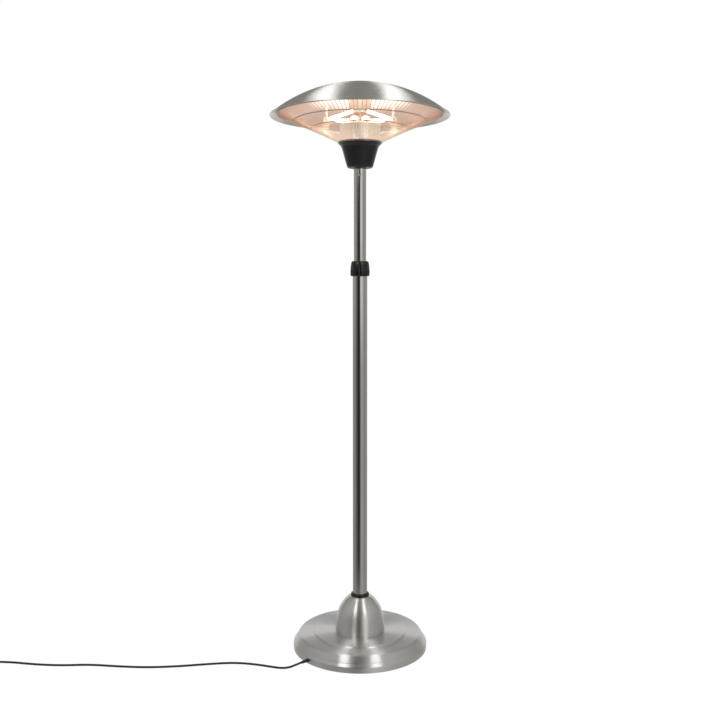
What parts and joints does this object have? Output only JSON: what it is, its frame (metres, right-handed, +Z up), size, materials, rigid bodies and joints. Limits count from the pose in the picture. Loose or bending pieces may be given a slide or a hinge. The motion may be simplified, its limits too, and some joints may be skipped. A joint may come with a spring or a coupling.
{
  "type": "outdoor heater",
  "caption": "Free-standing halogen patio heater: domed steel head with a conical wire guard on a telescopic pole and a weighted round base.",
  "frame": {"origin": "middle of the base on the standing surface", "axes": "+Z up along the pole, -Y the front, -X the side that the cord leaves towards"},
  "size_m": [1.641, 0.6, 1.919],
  "materials": {
    "spun_steel": "spun satin stainless steel",
    "polished_steel": "polished spun stainless steel",
    "brushed_steel": "stainless tube, brushed lengthways",
    "dome_steel": "brushed stainless sheet",
    "reflector": "bright reflector sheet",
    "can_steel": "bright spun steel",
    "zinc_steel": "zinc plated steel",
    "fastener_steel": "plated steel",
    "concrete": "cast concrete",
    "rubber": "moulded rubber",
    "black_plastic": "moulded black plastic",
    "hub_plastic": "moulded black heat-resistant plastic, fine grain",
    "nylon": "natural nylon",
    "ceramic": "white steatite",
    "quartz": "quartz tube with a warm tint",
    "filament": "glowing tungsten coil",
    "guard_wire": "bright steel wire",
    "cord_rubber": "black cord sheath",
    "plated_brass": "nickel plated brass",
    "silicone_lead": "silicone insulated wire"
  },
  "bodies": {
    "base": {"base_shell": "spun_steel", "ballast_disc": "concrete", "bottom_plate": "zinc_steel", "rubber_feet": "rubber", "foot_screws": "fastener_steel", "pole_flange": "zinc_steel", "flange_bolts": "fastener_steel", "flange_washers": "fastener_steel", "flange_nuts": "fastener_steel", "bell_cover": "polished_steel", "seal_ring": "black_plastic", "lower_tube": "brushed_steel", "lock_socket": "black_plastic", "clamp_sleeve": "nylon", "cable_gland": "black_plastic", "gland_nut": "black_plastic", "strain_relief": "cord_rubber", "mains_cord": "cord_rubber", "cord_coil": "cord_rubber", "plug_body": "cord_rubber", "plug_pins": "plated_brass", "cord_saddle": "nylon", "saddle_screws": "fastener_steel", "base_lead": "cord_rubber", "lead_coil": "cord_rubber"},
    "lock": {"lock_nut": "black_plastic"},
    "mast": {"upper_tube": "brushed_steel", "dome_cover": "dome_steel", "reflector": "reflector", "lamp_can": "can_steel", "column": "can_steel", "column_flange": "zinc_steel", "hub_plate": "zinc_steel", "lamp_brackets": "zinc_steel", "guard_clips": "zinc_steel", "guide_bush": "nylon", "hub_housing": "hub_plastic", "selector_switch": "black_plastic", "tilt_switch": "black_plastic", "bush_rivets": "fastener_steel", "hub_stem": "zinc_steel", "stem_screws": "fastener_steel", "hub_screws": "fastener_steel", "dome_studs": "fastener_steel", "stud_nuts": "fastener_steel", "terminal_block": "ceramic", "lamp_caps": "ceramic", "lamp_pins": "fastener_steel", "lamp_glass": "quartz", "lamp_filaments": "filament", "guard_wires": "guard_wire", "guard_outer_ring": "guard_wire", "guard_upper_ring": "guard_wire", "guard_lower_ring": "guard_wire", "guard_inner_ring": "guard_wire", "mast_lead": "cord_rubber", "column_leads": "silicone_lead", "lamp_leads": "silicone_lead"},
    "knob": {"selector_knob": "hub_plastic", "knob_spindle": "fastener_steel"}
  },
  "joints": [
    {"name": "mast_slide", "type": "slide", "parent": "base", "child": "mast", "axis": [0, 0, 1], "range_m": [-0.25, 0.2], "deforming": ["lead_coil"]},
    {"name": "lock_twist", "type": "hinge", "parent": "base", "child": "lock", "pos_m": [0, 0, 1.3], "axis": [0, 0, 1], "range_deg": [0, 120]},
    {"name": "selector_turn", "type": "hinge", "parent": "mast", "child": "knob", "pos_m": [0, 0.07, 1.688], "axis": [0, 1, 0], "range_deg": [0, 270]}
  ]
}
